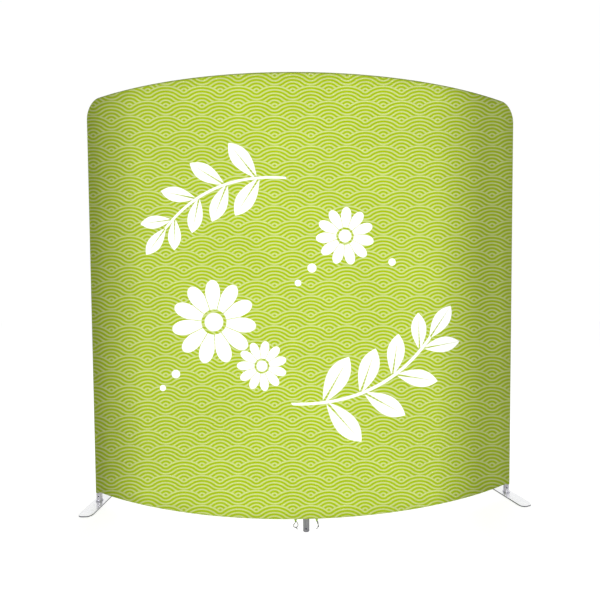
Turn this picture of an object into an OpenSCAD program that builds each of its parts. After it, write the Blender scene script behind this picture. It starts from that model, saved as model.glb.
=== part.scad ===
// Free-standing curved display wall: a plug-together tube frame inside a stretched
// cloth cover that closes along its lower edge with a zip in two halves.
// The origin is under the centre leg, on the floor. +X runs along the wall, +Y points
// to its hollow back, and the wall bulges towards -Y. Lengths are in millimetres.

/* [Wall] */
// Radius of the wall's curve, on the tube centres
arc_r = 2380; // [2200:5:2700]
// Angle from the middle of the wall to where each top rail ends
rail_angle = 28.2; // [26:0.1:30]
// Height of the cover's top edge above the floor
total_h = 2300; // [2100:5:2450]
// Height of the cover's lower edge above the floor
hem_h = 62; // [58:0.5:80]
// Bend radius of the top corners, on the tube centres
corner_r = 90; // [84:1:130]
// Height of the joint halfway up each upright
mid_joint_h = 1180; // [900:5:1400]

/* [Tubes] */
// Outside diameter of every frame tube
tube_d = 32; // [31:0.5:34]
// Wall thickness of the frame tubes
tube_wall = 1.5; // [1.2:0.1:1.8]
// Wall thickness of the spigots inside the tubes
spigot_wall = 1.8; // [1.5:0.1:2]
// Length of spigot inside each tube
spigot_l = 55; // [50:1:70]
// Radial clearance between a spigot and its tube
slip = 0.05; // [0.03:0.01:0.1]
// Half the length of the tee in the middle of the top rail
tee_half_l = 35; // [34:1:50]
// Length of a stub from an upright's centre to its shoulder
stub_l = 24; // [22:1:30]
// Gap left for the weld between a stub and its upright
weld_gap = 0.05; // [0.02:0.01:0.1]

/* [Snap buttons] */
// Diameter of a snap button
button_d = 8; // [7:0.5:9]
// Height of a snap button above the tube
button_lift = 3; // [2.5:0.1:3.5]
// Radial clearance round a snap button
button_gap = 0.08; // [0.04:0.01:0.1]
// Distance from a joint's shoulder to its button
button_set = 25; // [22:0.5:28]
// Thickness of the spring strip under a button
strip_t = 0.8; // [0.6:0.1:1]
// Width of the spring strip
strip_w = 8; // [6:0.5:9]
// Length of the strip from the button to its bend
strip_l = 18; // [15:0.5:19]
// Length of the tab that carries the button on the strip's fixed end
strip_tab_l = 4; // [3:0.5:6]
// Rounding of a snap button's top edge
button_dome = 1.2; // [0.6:0.1:2]
// Diameter of the rivets that hold the inner sleeves
rivet_d = 4; // [3:0.5:5]

/* [Feet] */
// Length of a base plate
plate_l = 320; // [280:5:360]
// Width of a base plate
plate_w = 80; // [70:1:90]
// Thickness of a base plate
plate_t = 6; // [5:0.5:8]
// Corner radius of a base plate
plate_corner_r = 30; // [20:1:34]
// Bevel round the top edge of a base plate
plate_bevel = 0.8; // [0.3:0.1:1.5]
// Thickness of the rubber mat under a base plate
mat_t = 1.5; // [1:0.5:3]
// Distance of the mat's edge inside the plate's edge
mat_inset = 3; // [2:0.5:6]
// Turn of the left base plate, front end outwards
left_foot_angle = 2; // [0:1:25]
// Turn of the right base plate, front end outwards
right_foot_angle = 17; // [0:1:25]
// Diameter of the collar at the foot of an end upright
collar_d = 39; // [37:0.5:42]
// Height of that collar
collar_h = 4.5; // [3:0.5:8]
// Thickness of the solid bottom of a foot post
post_floor = 14; // [11:0.5:15]
// Length of a foot post inside its upright
post_l = 66; // [60:1:80]
// Diameter of the screw that holds a base plate
screw_d = 8; // [6:1:10]
// Clearance round the screw, on the radius
screw_gap = 0.1; // [0.05:0.01:0.2]
// Height of an end foot's button above the floor
foot_button_h = 41; // [38:0.5:46]
// Turn of an end foot's button from straight ahead, towards the middle
foot_button_turn = 12; // [0:1:40]
// Height of the centre foot's button above the floor
centre_button_h = 18; // [15:0.5:24]
// Height of the centre plug's flange under the tube
plug_flange_h = 3; // [2:0.5:5]
// Length of the centre plug inside its tube
plug_l = 50; // [48:1:60]
// Thickness of the centre plug's closed bottom
plug_floor = 3; // [2:0.5:5]

/* [Cover] */
// Thickness of the cloth with its seam allowance
cloth_t = 1; // [0.8:0.1:1.2]
// Clearance between the cloth and the tubes
cloth_gap = 0.5; // [0.3:0.05:0.6]
// Turn of the seam round the edge, from the front face
seam_turn = 32; // [20:1:60]
// Width of the seam line between the front and the back panel
seam_w = 0.3; // [0.2:0.05:0.5]
// Room between the bottom rail and the cover's lower edge
hem_slack = 8; // [7:0.5:12]
// Half the width of the slot that the zip closes
slot_half_w = 7; // [6.5:0.1:9]
// Distance of each zip slider from the middle of the centre leg
zip_open_l = 54; // [46:1:70]
// Half the width of the opening where it meets the centre leg
zip_open_w = 13; // [11:0.5:14]
// Height of the cuff round the centre leg above the lower edge
cuff_lift = 4; // [2:0.5:8]
// Extra thickness of a cuff on each face, from its double hem
cuff_extra = 0.2; // [0.1:0.05:0.25]

/* [Zip] */
// Radius of each of the two rounds of the zip's chain
chain_r = 1.2; // [1:0.1:1.4]
// Distance of each round's centre from the middle of the zip
chain_set = 1.15; // [1:0.05:1.3]
// Thickness of the zip tape
tape_t = 0.8; // [0.6:0.1:1]
// Width of each zip tape
tape_w = 10; // [8:0.5:12]
// Distance from each end of the zip to the end of the wall's curve
zip_end_gap = 12; // [8:1:60]
// Length of a slider along the zip
slider_l = 16; // [14:0.5:20]
// Width of a slider
slider_w = 11; // [10:0.1:12]
// Thickness of a slider's two plates
slider_t = 1.6; // [1.2:0.1:1.8]
// Clearance between the slider's plates and the chain
slider_gap = 0.4; // [0.3:0.05:0.5]
// Diameter of the post between the slider's plates
slider_post_d = 3; // [2:0.5:4]
// Depth of the slider's pull eye below its lower plate
eye_h = 16; // [13:0.5:18]
// Thickness of the pull eye
eye_t = 3; // [2.5:0.1:4]
// Diameter of the pull cords
cord_d = 3; // [2.5:0.1:3.2]
// Clearance between a pull cord and its eye
cord_gap = 0.3; // [0.2:0.05:0.6]

/* [Hidden] */
$fn = 96;
key_l = 2;
butt_step = 0.01;
lap = 0.5;
lap_turn = 0.1;
cloth_step = 0.015;
tube_r = tube_d / 2;
bore_r = tube_r - tube_wall;
spigot_r = bore_r - slip;
spigot_bore_r = spigot_r - spigot_wall;
cloth_in_r = tube_r + cloth_gap;
cloth_out_r = cloth_in_r + cloth_t;
top_z = total_h - cloth_out_r;
bend_z = top_z - corner_r;
fold_z = hem_h + cloth_out_r;
rail_z = fold_z + hem_slack;
upright_x = arc_r * sin(rail_angle) + corner_r * cos(rail_angle);
upright_y = arc_r * (1 - cos(rail_angle)) + corner_r * sin(rail_angle);
deg_per_mm = 180 / (PI * arc_r);
tee_angle = tee_half_l * deg_per_mm;
spigot_angle = spigot_l * deg_per_mm;
button_angle = button_set * deg_per_mm;
stub_angle = stub_l * deg_per_mm;
button_r = button_d / 2;
hole_r = button_r + button_gap;
sleeve_rivet_set = button_set;
post_z = mat_t + plate_t;
leg_z = post_z + collar_h;
mat_hole_r = screw_d + 2;
screw_head_h = screw_d / 2;
tape_in_r = cloth_in_r - cloth_gap - tape_t;
tape_gap = 0.1;
tape_facets = 3;
chain_half_w = chain_r + chain_set;
zip_z = fold_z - tape_in_r - tape_t / 2;
zip_angle = rail_angle - zip_end_gap * deg_per_mm;
slider_angle = zip_open_l * deg_per_mm;
slot_turn = asin(slot_half_w / cloth_out_r);
seam_gap_turn = seam_w / cloth_in_r * 180 / PI;
slider_plate_z = chain_r + slider_gap;
lens_r = (pow(zip_open_l, 2) + pow(zip_open_w, 2)) / (2 * zip_open_w);
strip_half_w = strip_w / 2;
strip_rest = sqrt(pow(spigot_bore_r, 2) - pow(button_r + 1, 2)) - 0.4;
strip_back = sqrt(pow(spigot_bore_r, 2) - pow(strip_half_w, 2)) - 0.15;
eye_hole_r = cord_d / 2 + cord_gap;
eye_rim = 2;
eye_drop = slider_t / 2 + eye_h - eye_rim - eye_hole_r;
eye_z = zip_z - slider_plate_z - slider_t / 2 - eye_drop;
// Each pull cord hangs from its eye. The points count from the middle of the eye.
left_cord = [[0, -0.3, 0], [0, -3.2, -0.4], [-1.4, -5.8, -2.6], [-4, -6.6, -6.6],
  [-7.6, -5.6, -11.4], [-10.8, -3.6, -16.4], [-12.2, -1.4, -21.6], [-10.6, 0, -26.8],
  [-6.4, 0.6, -30.6], [-1, 0.4, -32.6], [4.6, 0, -31.6], [9.2, 0, -28.2],
  [11.8, 1, -23], [11.4, 3.2, -17.4], [8.8, 5.2, -12.2], [5.2, 6.4, -7.4],
  [2, 6, -3.2], [0.2, 3.4, -0.6], [0, 0.3, 0]];
left_knot = [2, 0.3, -32.8];
left_tail = [[3.2, 0.4, -34.8], [5.4, 0.7, -37.4], [7.6, 1, -40], [9, 1, -42.6]];
right_cord = [[0, -0.3, 0], [0.4, -3.2, -0.5], [1.8, -6.4, -3], [4, -9, -7.4],
  [6.4, -10.8, -12.6], [8.2, -11.2, -18], [8.8, -9.8, -23.4], [8.4, -6.4, -28],
  [7.6, -1.6, -30.8], [7.2, 3.6, -30.4], [7.4, 8, -27], [7.6, 10.6, -22],
  [6.8, 11.2, -16.2], [5, 10, -10.4], [2.8, 7.4, -5.2], [0.8, 4, -1.2], [0, 0.3, 0]];
right_knot = [7.4, 0.6, -31.6];
right_tail = [[6.6, 0.6, -33.6], [4.6, 0.4, -36.8], [1.4, 0, -39.8], [-2.6, 0, -42.4]];
knot_r = 3.3;

// ---- Places ------------------------------------------------------------------
// The right half is drawn, and the left half is its mirror image.
module half(side) {
  if (side < 0) mirror([1, 0, 0]) children();
  else children();
}

// On the wall's curve at an angle from the middle: x along the wall, y to the back.
module on_arc(angle) {
  translate([0, arc_r, 0]) rotate([0, 0, angle]) translate([0, -arc_r, 0]) children();
}

// Sweeps a profile (x outwards from the tube centres, y up) along the wall's curve.
module arc_sweep(from, to) {
  translate([0, arc_r, 0]) rotate([0, 0, from - 90])
    rotate_extrude(angle = to - from, $fn = 360) translate([arc_r, 0]) children();
}

// At an end upright: square to the floor plan, or in line with the wall's end.
module at_upright(turn = 0) translate([upright_x, upright_y, 0]) rotate([0, 0, turn]) children();
module at_end() on_arc(rail_angle) children();
module in_end_line() on_arc(rail_angle) translate([corner_r, 0, 0]) children();

// Each spot has z pointing out through the button, and x into the spigot.
module foot_spot() {
  at_upright(-foot_button_turn) translate([0, 0, foot_button_h])
    rotate([90, 0, 0]) rotate([0, 0, 90]) children();
}
module centre_foot_spot() {
  translate([0, 0, centre_button_h]) rotate([90, 0, 0]) rotate([0, 0, 90]) children();
}
module mid_spot() {
  in_end_line() translate([0, 0, mid_joint_h + button_set])
    rotate([0, -90, 0]) rotate([0, 0, 180]) children();
}
module centre_mid_spot() {
  translate([0, 0, mid_joint_h + button_set]) rotate([0, -90, 0]) rotate([0, 0, 180]) children();
}
module elbow_low_spot() {
  in_end_line() translate([0, 0, bend_z - button_set]) rotate([0, -90, 0]) children();
}
module elbow_top_spot() {
  on_arc(rail_angle - button_angle) translate([0, 0, top_z]) rotate([180, 0, 0]) children();
}
module tee_side_spot() {
  on_arc(tee_angle + button_angle) translate([0, 0, top_z])
    rotate([180, 0, 0]) rotate([0, 0, 180]) children();
}
module tee_low_spot() {
  translate([0, 0, top_z - tee_half_l - button_set]) rotate([0, -90, 0]) children();
}
module stub_spot() {
  in_end_line() translate([-stub_l - button_set, 0, rail_z]) children();
}
module centre_stub_spot() {
  on_arc(stub_angle + button_angle) translate([0, 0, rail_z]) rotate([0, 0, 180]) children();
}
module sleeve_rivet_spot() {
  in_end_line() translate([0, 0, mid_joint_h - sleeve_rivet_set]) rotate([0, -90, 0]) children();
}
module centre_sleeve_rivet_spot() {
  translate([0, 0, mid_joint_h - sleeve_rivet_set]) rotate([0, -90, 0]) children();
}

// ---- Shared shapes -----------------------------------------------------------
module ring2d(outer, inner) {
  difference() {
    circle(outer);
    circle(inner);
  }
}

// The part of a ring between two angles.
module ring_sector(outer, inner, from, to) {
  turns = [from, (2 * from + to) / 3, (from + 2 * to) / 3, to];
  intersection() {
    rotate((from + to) / 2 + 180) ring2d(outer, inner);
    polygon([[0, 0], for (a = turns) 2 * outer * [cos(a), sin(a)]]);
  }
}

module tube(from, to) translate([0, 0, from]) linear_extrude(to - from) ring2d(tube_r, bore_r);
module spigot(from, to) {
  translate([0, 0, from]) linear_extrude(to - from) ring2d(spigot_r, spigot_bore_r);
}
// Thin ring inside the walls of two tubes that meet end to end, to make them one.
// One of the two walls is thicker by butt_step on each side, so the other's end lies in it.
module butt_key(outer, inner) {
  wall = outer - inner;
  translate([0, 0, -key_l / 2]) linear_extrude(key_l) ring2d(outer - wall / 4, inner + wall / 4);
}
module snap_hole() cylinder(r = hole_r, h = tube_d);
module rivet_hole() cylinder(d = rivet_d + 2 * slip, h = tube_d);

// Smooth tube along a list of points, closed at both ends.
function unit(v) = v / norm(v);
function along(p, i) = unit(p[min(i + 1, len(p) - 1)] - p[max(i - 1, 0)]);
function side_of(p, i) = i == 0
  ? unit(cross(along(p, 0), [1, 0.2, 0.1]))
  : let (s = side_of(p, i - 1), t = along(p, i)) unit(s - t * (s * t));
module swept_cord(p, r, sides = 8) {
  rings = [for (i = [0 : len(p) - 1])
    let (s = side_of(p, i), c = cross(along(p, i), s))
    for (k = [0 : sides - 1]) p[i] + r * (cos(360 * k / sides) * s + sin(360 * k / sides) * c)];
  last = (len(p) - 1) * sides;
  walls = [for (i = [0 : len(p) - 2]) for (k = [0 : sides - 1])
    let (a = i * sides + k, b = i * sides + (k + 1) % sides)
    each [[a, a + sides, b], [b, a + sides, b + sides]]];
  ends = [for (k = [1 : sides - 2]) each [[0, k, k + 1], [last, last + k + 1, last + k]]];
  polyhedron(rings, concat(walls, ends));
}

// ---- Frame -------------------------------------------------------------------
module end_upright_lower() {
  difference() {
    in_end_line() tube(leg_z, mid_joint_h);
    foot_spot() snap_hole();
    sleeve_rivet_spot() rivet_hole();
  }
}

module end_upright_upper() {
  difference() {
    in_end_line() tube(mid_joint_h, bend_z);
    mid_spot() snap_hole();
    elbow_low_spot() snap_hole();
  }
}

module left_upright_lower() color("silver") half(-1) end_upright_lower();
module right_upright_lower() color("silver") half(1) end_upright_lower();
module left_upright_upper() color("silver") half(-1) end_upright_upper();
module right_upright_upper() color("silver") half(1) end_upright_upper();

module centre_upright_lower() color("silver") {
  difference() {
    tube(plug_flange_h, mid_joint_h);
    centre_foot_spot() snap_hole();
    centre_sleeve_rivet_spot() rivet_hole();
  }
}

module centre_upright_upper() color("silver") {
  difference() {
    tube(mid_joint_h, top_z - tee_half_l);
    centre_mid_spot() snap_hole();
    tee_low_spot() snap_hole();
  }
}

// Bent corner tube with a spigot at each end, in line with the wall's end.
module elbow() {
  difference() {
    union() {
      at_end() translate([0, 0, bend_z]) rotate([90, 0, 0])
        rotate_extrude(angle = 90) translate([corner_r, 0])
          ring2d(tube_r, spigot_bore_r - butt_step);
      in_end_line() spigot(bend_z - spigot_l, bend_z);
      arc_sweep(rail_angle - spigot_angle, rail_angle) translate([0, top_z])
        ring2d(spigot_r, spigot_bore_r);
      at_end() translate([0, 0, top_z]) rotate([90, 0, 90]) butt_key(spigot_r, spigot_bore_r);
      in_end_line() translate([0, 0, bend_z]) butt_key(spigot_r, spigot_bore_r);
    }
    elbow_low_spot() snap_hole();
    elbow_top_spot() snap_hole();
  }
}

module top_left_elbow() color("silver") half(-1) elbow();
module top_right_elbow() color("silver") half(1) elbow();

module top_rail() {
  difference() {
    arc_sweep(tee_angle, rail_angle) translate([0, top_z]) ring2d(tube_r, bore_r);
    tee_side_spot() snap_hole();
    elbow_top_spot() snap_hole();
  }
}

module top_rail_left() color("silver") half(-1) top_rail();
module top_rail_right() color("silver") half(1) top_rail();

// Tee with three spigots: one into each top rail and one into the centre upright.
module top_tee() color("gray") {
  difference() {
    union() {
      arc_sweep(-tee_angle, tee_angle) translate([0, top_z]) circle(tube_r);
      arc_sweep(-tee_angle - spigot_angle, tee_angle + spigot_angle) translate([0, top_z])
        circle(spigot_r);
      translate([0, 0, top_z - tee_half_l]) cylinder(r = tube_r, h = tee_half_l);
      translate([0, 0, top_z - tee_half_l - spigot_l]) cylinder(r = spigot_r, h = spigot_l);
    }
    arc_sweep(-tee_angle - spigot_angle - 0.1, tee_angle + spigot_angle + 0.1)
      translate([0, top_z]) circle(spigot_bore_r);
    translate([0, 0, top_z - tee_half_l - spigot_l - 1])
      cylinder(r = spigot_bore_r, h = tee_half_l + spigot_l + 1);
    half(1) tee_side_spot() snap_hole();
    half(-1) tee_side_spot() snap_hole();
    tee_low_spot() snap_hole();
  }
}

// The bottom rail follows the curve, then runs straight to the stub on the upright.
module bottom_rail() {
  difference() {
    union() {
      arc_sweep(stub_angle, rail_angle) translate([0, rail_z]) ring2d(tube_r, bore_r);
      at_end() translate([0, 0, rail_z]) rotate([90, 0, 90]) {
        linear_extrude(corner_r - stub_l) ring2d(tube_r + butt_step, bore_r - butt_step);
        butt_key(tube_r, bore_r);
      }
    }
    stub_spot() snap_hole();
    centre_stub_spot() snap_hole();
  }
}

module bottom_rail_left() color("silver") half(-1) bottom_rail();
module bottom_rail_right() color("silver") half(1) bottom_rail();

// Stub welded to an end upright, coped to its round side.
module end_stub() {
  difference() {
    in_end_line() translate([0, 0, rail_z]) rotate([90, 0, -90]) {
      difference() {
        union() {
          cylinder(r = tube_r, h = stub_l);
          cylinder(r = spigot_r, h = stub_l + spigot_l);
        }
        translate([0, 0, -1]) cylinder(r = spigot_bore_r, h = stub_l + spigot_l + 2);
      }
    }
    in_end_line() cylinder(r = tube_r + weld_gap, h = 2 * rail_z);
    stub_spot() snap_hole();
  }
}

module left_rail_stub() color("gray") half(-1) end_stub();
module right_rail_stub() color("gray") half(1) end_stub();

module centre_stub() {
  difference() {
    union() {
      arc_sweep(0, stub_angle) translate([0, rail_z]) circle(tube_r);
      arc_sweep(0, stub_angle + spigot_angle) translate([0, rail_z]) circle(spigot_r);
    }
    arc_sweep(-0.1, stub_angle + spigot_angle + 0.1) translate([0, rail_z])
      circle(spigot_bore_r);
    cylinder(r = tube_r + weld_gap, h = 2 * rail_z);
    centre_stub_spot() snap_hole();
  }
}

module centre_stub_left() color("gray") half(-1) centre_stub();
module centre_stub_right() color("gray") half(1) centre_stub();

module end_sleeve() {
  difference() {
    in_end_line() spigot(mid_joint_h - spigot_l, mid_joint_h + spigot_l);
    mid_spot() snap_hole();
    sleeve_rivet_spot() rivet_hole();
  }
}

module left_sleeve() color("dimgray") half(-1) end_sleeve();
module right_sleeve() color("dimgray") half(1) end_sleeve();
module centre_sleeve() color("dimgray") {
  difference() {
    spigot(mid_joint_h - spigot_l, mid_joint_h + spigot_l);
    centre_mid_spot() snap_hole();
    centre_sleeve_rivet_spot() rivet_hole();
  }
}

module rivet() {
  head_h = rivet_d * 0.3;
  rotate_extrude() polygon([[0, spigot_bore_r - 1], [rivet_d * 0.7, spigot_bore_r - 1],
    [rivet_d / 2, spigot_bore_r], [rivet_d / 2, tube_r], [rivet_d * 0.9, tube_r],
    [rivet_d * 0.6, tube_r + head_h], [0, tube_r + head_h]]);
}

module sleeve_rivets() color("gainsboro") {
  half(-1) sleeve_rivet_spot() rivet();
  half(1) sleeve_rivet_spot() rivet();
  centre_sleeve_rivet_spot() rivet();
}

// ---- Snap buttons ------------------------------------------------------------
// Domed head on the moving end of the spring strip.
module snap_button() {
  h = tube_r + button_lift - strip_rest + strip_t / 2;
  color("dimgray") {
    rotate_extrude() translate([0, strip_rest - strip_t / 2]) {
      square([button_r, h - button_dome]);
      square([button_r - button_dome, h]);
      translate([button_r - button_dome, h - button_dome]) circle(button_dome, $fn = 48);
    }
    translate([0, 0, strip_rest - strip_t]) linear_extrude(strip_t) {
      circle(button_r + 1);
      translate([0, -strip_half_w]) square([strip_l, strip_w]);
    }
  }
}

// The rest of the strip: it bends round and lies on the far side of the bore.
module snap_strip() {
  top = strip_rest - strip_t;
  low = -strip_back;
  bend_r = (top - low) / 2;
  translate([0, strip_half_w, 0]) rotate([90, 0, 0]) linear_extrude(strip_w) {
    translate([strip_l, (top + low) / 2]) intersection() {
      ring2d(bend_r, bend_r - strip_t);
      translate([0, -bend_r]) square([bend_r, 2 * bend_r]);
    }
    translate([-button_r, low]) square([strip_l + button_r, strip_t]);
    translate([strip_l - strip_tab_l, top - strip_t]) square([strip_tab_l, strip_t]);
  }
}

module snap_strips() color("slategray") {
  for (side = [-1, 1]) half(side) {
    foot_spot() snap_strip();
    mid_spot() snap_strip();
    elbow_low_spot() snap_strip();
    elbow_top_spot() snap_strip();
    tee_side_spot() snap_strip();
    stub_spot() snap_strip();
    centre_stub_spot() snap_strip();
  }
  centre_foot_spot() snap_strip();
  centre_mid_spot() snap_strip();
  tee_low_spot() snap_strip();
}

module left_foot_button() half(-1) foot_spot() snap_button();
module right_foot_button() half(1) foot_spot() snap_button();
module centre_foot_button() centre_foot_spot() snap_button();
module left_mid_button() half(-1) mid_spot() snap_button();
module right_mid_button() half(1) mid_spot() snap_button();
module centre_mid_button() centre_mid_spot() snap_button();
module left_elbow_button_lower() half(-1) elbow_low_spot() snap_button();
module left_elbow_button_upper() half(-1) elbow_top_spot() snap_button();
module right_elbow_button_lower() half(1) elbow_low_spot() snap_button();
module right_elbow_button_upper() half(1) elbow_top_spot() snap_button();
module tee_button_left() half(-1) tee_side_spot() snap_button();
module tee_button_right() half(1) tee_side_spot() snap_button();
module tee_button_lower() tee_low_spot() snap_button();
module left_stub_button() half(-1) stub_spot() snap_button();
module right_stub_button() half(1) stub_spot() snap_button();
module centre_stub_button_left() half(-1) centre_stub_spot() snap_button();
module centre_stub_button_right() half(1) centre_stub_spot() snap_button();

// ---- Feet --------------------------------------------------------------------
// Collared post, tapped from below, that the end upright drops over.
module foot_post() {
  difference() {
    at_upright() union() {
      translate([0, 0, post_z]) cylinder(d = collar_d, h = collar_h);
      translate([0, 0, post_z]) cylinder(r = spigot_r, h = collar_h + post_l);
    }
    at_upright() translate([0, 0, post_z + post_floor])
      cylinder(r = spigot_bore_r, h = collar_h + post_l);
    at_upright() translate([0, 0, post_z - 1])
      cylinder(d = screw_d + 2 * slip, h = post_floor);
    foot_spot() snap_hole();
  }
}

module left_foot_post() color("silver") half(-1) foot_post();
module right_foot_post() color("silver") half(1) foot_post();

// Countersunk screw from below, flush with the underside of the plate.
module foot_screw() {
  at_upright() translate([0, 0, mat_t]) difference() {
    union() {
      cylinder(d = screw_d, h = plate_t + post_floor - 2);
      cylinder(r1 = screw_d, r2 = screw_d - screw_head_h, h = screw_head_h);
    }
    translate([0, 0, -1]) cylinder(d = screw_d * 0.7, h = 3, $fn = 6);
  }
}

module left_foot_screw() color("gray") half(-1) foot_screw();
module right_foot_screw() color("gray") half(1) foot_screw();

module base_plate(angle) {
  x = plate_w / 2 - plate_corner_r;
  y = plate_l / 2 - plate_corner_r;
  at_upright(angle) translate([0, 0, mat_t]) difference() {
    hull() for (sx = [-x, x], sy = [-y, y]) translate([sx, sy, 0]) {
      cylinder(r = plate_corner_r, h = plate_t - plate_bevel, $fn = 64);
      cylinder(r = plate_corner_r - plate_bevel, h = plate_t, $fn = 64);
    }
    translate([0, 0, -1]) cylinder(r = screw_d / 2 + screw_gap, h = plate_t + 2);
    cylinder(r1 = screw_d + screw_gap, r2 = screw_d - screw_head_h + screw_gap,
      h = screw_head_h);
  }
}

module left_base_plate() color("gainsboro") half(-1) base_plate(left_foot_angle);
module right_base_plate() color("gainsboro") half(1) base_plate(right_foot_angle);

module foot_mat(angle) {
  w = plate_w - 2 * mat_inset;
  l = plate_l - 2 * mat_inset;
  r = plate_corner_r - mat_inset;
  at_upright(angle) linear_extrude(mat_t) difference() {
    union() {
      square([w, l - 2 * r], center = true);
      square([w - 2 * r, l], center = true);
      for (sx = [-1, 1], sy = [-1, 1]) translate([sx * (w / 2 - r), sy * (l / 2 - r)]) circle(r);
    }
    circle(mat_hole_r);
  }
}

module left_foot_mat() color("dimgray") half(-1) foot_mat(left_foot_angle);
module right_foot_mat() color("dimgray") half(1) foot_mat(right_foot_angle);

// Flanged plug that closes the centre leg and stands on the floor.
module centre_foot_plug() color("gray") {
  difference() {
    union() {
      cylinder(r = tube_r, h = plug_flange_h);
      cylinder(r = spigot_r, h = plug_flange_h + plug_l);
    }
    translate([0, 0, plug_floor]) cylinder(r = spigot_bore_r, h = plug_flange_h + plug_l);
    centre_foot_spot() snap_hole();
  }
}

// ---- Cover -------------------------------------------------------------------
// Every part of a panel ends inside its neighbour, which is a hair thicker.
module cloth_ring(from, to, steps) {
  ring_sector(cloth_out_r - steps * cloth_step, cloth_in_r + steps * cloth_step, from, to);
}

module stadium(r) {
  translate([0, fold_z]) circle(r);
  translate([0, top_z]) circle(r);
  translate([-r, fold_z]) square([2 * r, top_z - fold_z]);
}

// A panel's section across the wall: x towards its own face, y up. It folds under
// the bottom rail as far as the zip's slot and over the top rail as far as the seam.
module panel_section(turn) {
  low = slot_turn - 90;
  rim = 2 * cloth_out_r;
  intersection() {
    difference() {
      stadium(cloth_out_r - 3 * cloth_step);
      stadium(cloth_in_r + 3 * cloth_step);
    }
    polygon([[0, fold_z], for (a = [low, low / 2, 0]) [rim * cos(a), fold_z + rim * sin(a)],
      for (a = [0, turn / 3, 2 * turn / 3, turn]) [rim * cos(a), top_z + rim * sin(a)],
      [0, top_z]]);
  }
}

// Part of the cloth that stands round a leg, between two directions.
module cuff(from, to, low) {
  difference() {
    translate([0, 0, low]) linear_extrude(fold_z - lap / 2 - low)
      ring_sector(cloth_out_r + cuff_extra, cloth_in_r - cuff_extra, from, to);
    // Clear of the stub that leaves the leg just above.
    translate([0, 0, rail_z]) rotate([0, 90, 0])
      cylinder(r = cloth_in_r, h = 4 * cloth_out_r, center = true);
  }
}

// The flat end of the wall: face, rounded corner, edge round the upright and cuff.
module panel_end(turn) {
  face_in = cloth_in_r + 2 * cloth_step;
  translate([0, -face_in, 0]) rotate([90, 0, 0]) linear_extrude(cloth_t - 4 * cloth_step) {
    translate([0, fold_z - lap]) square([corner_r + lap / 2, bend_z - fold_z + lap]);
    intersection() {
      translate([0, bend_z]) circle(corner_r + lap);
      translate([0, bend_z - lap]) square(corner_r + 2 * lap);
    }
  }
  translate([0, 0, bend_z]) rotate([90, 0, 0]) rotate_extrude(angle = 90)
    translate([corner_r, 0]) cloth_ring(90 - turn - lap_turn, 90 + lap_turn, 0);
  translate([corner_r, 0, hem_h + lap / 2]) linear_extrude(bend_z - hem_h - lap / 2)
    cloth_ring(-90, turn - 90, 1);
  difference() {
    rotate([90, 0, 90]) linear_extrude(corner_r) mirror([1, 0]) translate([0, fold_z])
      cloth_ring(slot_turn - 90 - lap_turn, 0, 1);
    translate([corner_r, 0, 0]) cylinder(r = cloth_in_r + cloth_t / 2, h = 2 * fold_z);
  }
  translate([corner_r, 0, 0]) cuff(180, 270 + lap_turn, hem_h);
  // A thin strip inside the cloth makes the curved and the flat part one.
  translate([-key_l, -cloth_in_r - cloth_t / 2, fold_z])
    cube([2 * key_l, cloth_t / 4, bend_z - fold_z]);
}

// The opening between the two sliders: pointed at both ends, and clear of the leg.
module zip_opening() {
  intersection_for (s = [-1, 1]) translate([0, s * (lens_r - zip_open_w), 0])
    cylinder(r = lens_r, h = fold_z, $fn = 180);
  cylinder(r = cloth_in_r + cloth_t / 2, h = fold_z - 3 * lap);
}

// One of the two panels. The back one is the front one seen from the other side.
module panel(turn, back = false) {
  difference() {
    arc_sweep(-rail_angle, rail_angle) turned(back) panel_section(turn);
    zip_opening();
  }
  for (side = [-1, 1]) half(side) at_end() swapped(back) panel_end(turn);
  swapped(back) cuff(180, 360, hem_h + cuff_lift);
}

module turned(back) {
  if (back) mirror([1, 0]) children();
  else children();
}
module swapped(back) {
  if (back) mirror([0, 1, 0]) children();
  else children();
}

module cover_front() color("yellowgreen") panel(seam_turn);
module cover_back() color("olivedrab") panel(180 - seam_turn - seam_gap_turn, back = true);

// ---- Zip ---------------------------------------------------------------------
// Tape along one edge of the slot, in a few flat facets that stay below the slider's
// upper plate. It stops where the zip opens round the leg.
module zip_tape(back = false) {
  from = asin((chain_half_w + tape_gap) / tape_in_r) - 90;
  turn = tape_w / (tape_in_r + tape_t) * 180 / PI;
  angles = [for (i = [0 : tape_facets]) from + turn * i / tape_facets];
  difference() {
    arc_sweep(-zip_angle, zip_angle) turned(back) translate([0, fold_z])
      polygon([for (a = angles) (tape_in_r + tape_t) * [cos(a), sin(a)],
        for (i = [tape_facets : -1 : 0]) tape_in_r * [cos(angles[i]), sin(angles[i])]]);
    zip_opening();
  }
}

module zip_tape_front() color("olivedrab") zip_tape();
module zip_tape_back() color("olivedrab") zip_tape(back = true);

// Closed chain from the slider to the end of the zip.
module zip_chain() {
  arc_sweep(slider_angle - 2 * deg_per_mm, zip_angle) translate([0, zip_z]) {
    translate([-chain_set, 0]) circle(chain_r);
    translate([chain_set, 0]) circle(chain_r);
    square([2 * chain_set, chain_r], center = true);
  }
}

module zip_chain_left() color("darkolivegreen") half(-1) zip_chain();
module zip_chain_right() color("darkolivegreen") half(1) zip_chain();

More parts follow.
